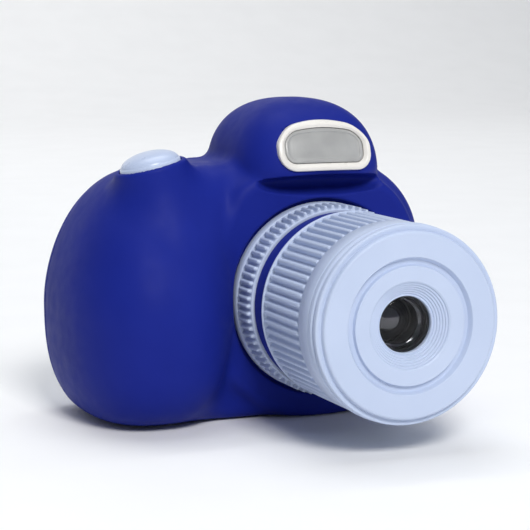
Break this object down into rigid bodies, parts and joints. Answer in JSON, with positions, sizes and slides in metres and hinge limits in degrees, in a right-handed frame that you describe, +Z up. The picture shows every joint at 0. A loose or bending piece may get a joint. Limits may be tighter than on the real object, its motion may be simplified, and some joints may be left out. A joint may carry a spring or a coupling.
{
  "type": "kids digital camera",
  "caption": "Child's digital camera in a small reflex shape: soft rounded casing with a full grip and flash hump, long two-ring lens, domed shutter button, rear screen and keys.",
  "frame": {"origin": "on the flat base, below the lens axis and near the middle of the casing's depth", "axes": "+X to the right seen from the front, -Y the way the lens points, +Z up"},
  "size_m": [0.0908, 0.0875, 0.0767],
  "materials": {
    "body_blue": "fine satin",
    "lens_pale": "satin",
    "button_pale": "semi gloss",
    "cream": "semi gloss",
    "diffuser": "ribbed satin",
    "lens_glass": "polished",
    "screen": "polished",
    "lcd": "gloss",
    "black_plastic": "moulded",
    "pcb": "solder mask",
    "flex": "polyimide film",
    "steel": "zinc plated",
    "brass": "turned",
    "chip": "moulded resin",
    "led": "phosphor resin",
    "battery_wrap": "foil pouch",
    "foam": "closed cell foam",
    "wire": "insulated wire",
    "flap_rubber": "soft moulded",
    "plug_metal": "stamped"
  },
  "bodies": {
    "camera_body": {"front_shell": "body_blue", "rear_shell": "body_blue", "lens_neck": "body_blue", "front_rim": "lens_pale", "front_plate": "lens_pale", "lens_glass": "lens_glass", "lens_holder": "black_plastic", "camera_module": "black_plastic", "sensor_board": "pcb", "camera_flex": "flex", "lens_screws": "steel", "flash_bezel": "cream", "flash_diffuser": "diffuser", "flash_led": "led", "flash_board": "pcb", "shutter_switch": "black_plastic", "shutter_board": "pcb", "screen_window": "screen", "lcd_panel": "lcd", "lcd_flex": "flex", "button_board": "pcb", "rear_switches": "black_plastic", "main_board": "pcb", "board_chips": "chip", "microphone": "plug_metal", "board_screws": "steel", "case_screws": "steel", "usb_port": "plug_metal", "card_socket": "plug_metal", "memory_card": "chip", "battery": "battery_wrap", "battery_pad": "foam", "battery_leads": "wire", "speaker": "black_plastic", "speaker_leads": "wire", "port_hinge_pin": "steel", "tripod_insert": "brass"},
    "zoom": {"zoom_ring": "lens_pale"},
    "focus": {"focus_ring": "lens_pale"},
    "shutter": {"shutter_button": "button_pale"},
    "cover": {"port_cover": "flap_rubber"},
    "up_key": {"up_button": "button_pale"},
    "down_key": {"down_button": "button_pale"},
    "left_key": {"left_button": "button_pale"},
    "right_key": {"right_button": "button_pale"},
    "ok_key": {"ok_button": "button_pale"},
    "mode_key": {"mode_button": "button_pale"},
    "play_key": {"play_button": "button_pale"},
    "power_key": {"power_button": "button_pale"}
  },
  "joints": [
    {"name": "shutter_press", "type": "slide", "parent": "camera_body", "child": "shutter", "axis": [0.2307, -0.0201, -0.9728], "range_m": [0, 0.0012], "stiffness_N_per_m": 1500},
    {"name": "zoom_ring_turn", "type": "hinge", "parent": "camera_body", "child": "zoom", "pos_m": [0, -0.023, 0.0295], "axis": [0, -1, 0], "range_deg": [-45, 45]},
    {"name": "focus_ring_turn", "type": "hinge", "parent": "camera_body", "child": "focus", "pos_m": [0, -0.048, 0.0295], "axis": [0, -1, 0], "range_deg": [-90, 90]},
    {"name": "port_cover_swing", "type": "hinge", "parent": "camera_body", "child": "cover", "pos_m": [0.02885, -0.0012, 0.03], "axis": [0, 0, -1], "range_deg": [0, 100]},
    {"name": "up_press", "type": "slide", "parent": "camera_body", "child": "up_key", "axis": [0, -1, 0], "range_m": [0, 0.0008], "stiffness_N_per_m": 1500},
    {"name": "down_press", "type": "slide", "parent": "camera_body", "child": "down_key", "axis": [0, -1, 0], "range_m": [0, 0.0008], "stiffness_N_per_m": 1500},
    {"name": "left_press", "type": "slide", "parent": "camera_body", "child": "left_key", "axis": [0, -1, 0], "range_m": [0, 0.0008], "stiffness_N_per_m": 1500},
    {"name": "right_press", "type": "slide", "parent": "camera_body", "child": "right_key", "axis": [0, -1, 0], "range_m": [0, 0.0008], "stiffness_N_per_m": 1500},
    {"name": "ok_press", "type": "slide", "parent": "camera_body", "child": "ok_key", "axis": [0, -1, 0], "range_m": [0, 0.0008], "stiffness_N_per_m": 1500},
    {"name": "mode_press", "type": "slide", "parent": "camera_body", "child": "mode_key", "axis": [0, -1, 0], "range_m": [0, 0.0008], "stiffness_N_per_m": 1500},
    {"name": "play_press", "type": "slide", "parent": "camera_body", "child": "play_key", "axis": [0, -1, 0], "range_m": [0, 0.0008], "stiffness_N_per_m": 1500},
    {"name": "power_press", "type": "slide", "parent": "camera_body", "child": "power_key", "axis": [0, -1, 0], "range_m": [0, 0.0008], "stiffness_N_per_m": 1500}
  ]
}
